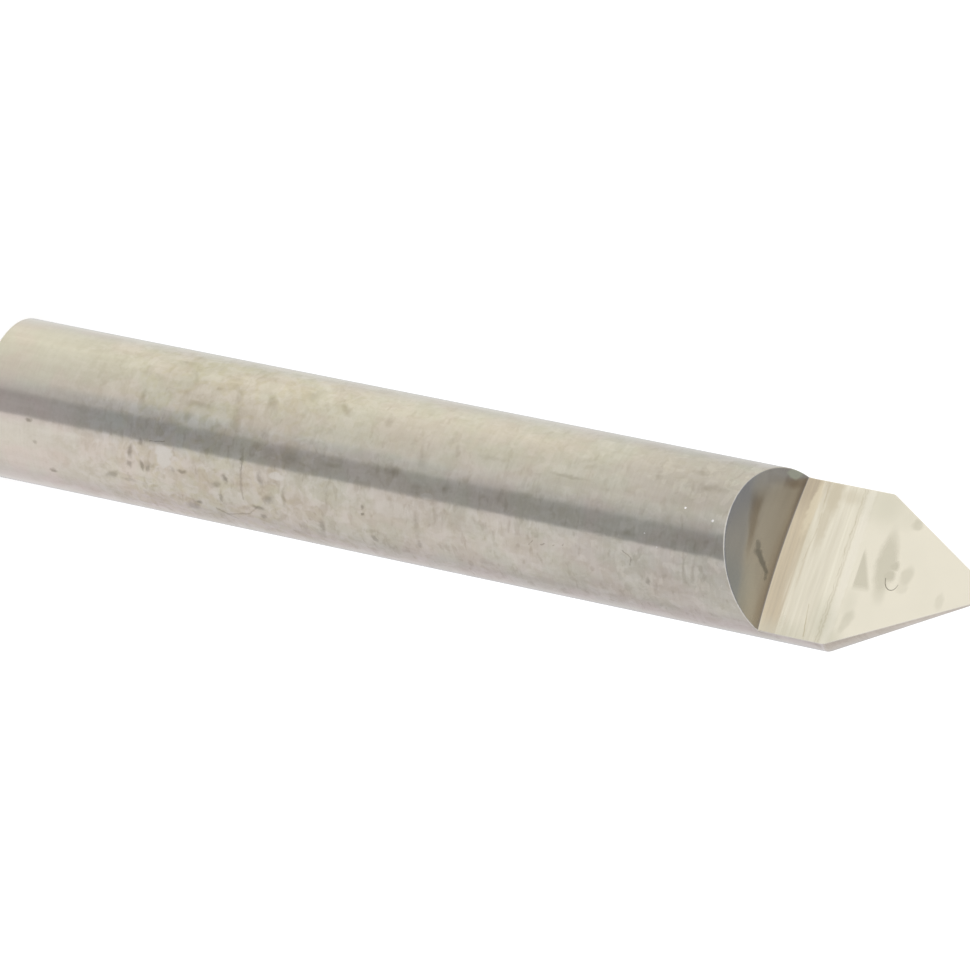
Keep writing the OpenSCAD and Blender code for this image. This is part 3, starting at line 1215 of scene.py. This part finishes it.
def make_floor():
    """A white floor, 6 m square. Only the camera sees its glow, so the metal reflects the tent all round."""
    half = 3.0
    mesh = bpy.data.meshes.new("floor")
    corners = [(-half, -half, 0), (half, -half, 0), (half, half, 0), (-half, half, 0)]
    mesh.from_pydata(corners, [], [(0, 1, 2, 3)])
    floor = bpy.data.objects.new("floor", mesh)
    bpy.context.scene.collection.objects.link(floor)
    material = bpy.data.materials.new("floor_white")
    material.use_nodes = True
    s = Shading(material.node_tree)
    shader = material.node_tree.nodes["Principled BSDF"]
    seen = s.node("ShaderNodeLightPath").outputs["Is Camera Ray"]
    for name, value in (
        ("Base Color", grey(0.8)),
        ("Roughness", 0.9),
        ("Emission Color", grey(1.0)),
        ("Emission Strength", s.times(seen, 0.5)),
    ):
        s.feed(shader.inputs[name], value)
    mesh.materials.append(material)
    floor.visible_glossy = False


# The light tent's walls as (azimuth, colour). Azimuth is 0 at -Y and grows towards +X. The dark gap at 19 to
# 43 degrees is the tent's opening, and a narrower one stands behind the bit.
LOWER_WALLS = [
    (-180, (0.83, 0.815, 0.85)),
    (-171, (0.74, 0.73, 0.76)),
    (-166, (0.5, 0.51, 0.53)),
    (-156, (0.5, 0.51, 0.53)),
    (-147, (0.8, 0.8, 0.8)),
    (-139, (0.905, 0.905, 0.9)),
    (-131, (0.975, 0.98, 0.98)),
    (-123, (0.985, 0.99, 0.995)),
    (-99, (1.18, 1.175, 1.13)),
    (-75, (1.23, 1.22, 1.17)),
    (-59, (1.15, 1.145, 1.11)),
    (-35, (1.04, 1.03, 1.02)),
    (-19, (0.97, 0.965, 0.965)),
    (-11, (0.965, 0.955, 0.98)),
    (-3, (0.9, 0.905, 0.94)),
    (5, (0.82, 0.82, 0.87)),
    (9, (0.75, 0.76, 0.81)),
    (15, (0.55, 0.565, 0.605)),
    (19, (0.52, 0.53, 0.57)),
    (43, (0.525, 0.535, 0.575)),
    (46.5, (0.96, 0.955, 1.02)),
    (55, (1.0, 0.995, 1.05)),
    (77, (0.985, 0.975, 1.02)),
    (93, (1.005, 0.99, 1.04)),
    (109, (0.96, 0.95, 1.0)),
    (125, (0.91, 0.895, 0.95)),
    (141, (0.825, 0.81, 0.88)),
    (157, (0.842, 0.81, 0.886)),
    (173, (0.875, 0.855, 0.9)),
    (180, (0.83, 0.815, 0.85)),
]
UPPER_WALLS = [
    (-180, (0.75, 0.75, 0.77)),
    (-140, (0.62, 0.62, 0.66)),
    (-100, (0.78, 0.78, 0.8)),
    (-60, (1.1, 1.1, 1.1)),
    (0, (1.2, 1.2, 1.18)),
    (100, (1.15, 1.15, 1.15)),
    (150, (0.82, 0.82, 0.84)),
    (180, (0.75, 0.75, 0.77)),
]
ROOF = [
    (-180, (0.45, 0.46, 0.5)),
    (-135, (0.44, 0.45, 0.49)),
    (-95, (0.52, 0.53, 0.58)),
    (-44, (0.64, 0.645, 0.73)),
    (0, (0.66, 0.66, 0.72)),
    (60, (0.62, 0.62, 0.68)),
    (120, (0.52, 0.52, 0.57)),
    (180, (0.45, 0.46, 0.5)),
]


# Heights in the tent, as degrees over the horizon, between which one ramp goes over into the next
LOWER_TO_UPPER = (5, 24)
UPPER_TO_ROOF = (48, 60)


def make_light():
    """A white light tent that the world carries: its colour follows the direction's azimuth, in one ramp for
    the walls below the bit, one for those above it and one for the roof. The camera sees plain white."""
    world = bpy.data.worlds.new("light_tent")
    bpy.context.scene.world = world
    world.use_nodes = True
    world.node_tree.nodes.clear()
    s = Shading(world.node_tree)
    direction = s.node("ShaderNodeTexCoord").outputs["Generated"]
    x, y, z = s.split(direction)
    azimuth = s.number("ARCTAN2", x, s.times(y, -1.0))
    share = s.straight(azimuth, -math.pi, math.pi)

    def around(walls):
        return s.bands(share, [((angle + 180) / 360, colour) for angle, colour in walls])

    def rising(low, high):
        return s.smooth(z, math.sin(math.radians(low)), math.sin(math.radians(high)))

    tent = s.blend(rising(*LOWER_TO_UPPER), around(LOWER_WALLS), around(UPPER_WALLS))
    tent = s.blend(rising(*UPPER_TO_ROOF), tent, around(ROOF))
    seen = s.node("ShaderNodeLightPath").outputs["Is Camera Ray"]
    background = s.node("ShaderNodeBackground", {"Color": s.blend(seen, tent, grey(1.0))})
    out = s.node("ShaderNodeOutputWorld")
    s.feed(out.inputs["Surface"], background.outputs[0])


make_camera()
make_bit()
make_floor()
make_light()
bpy.context.scene.view_settings.view_transform = "Standard"
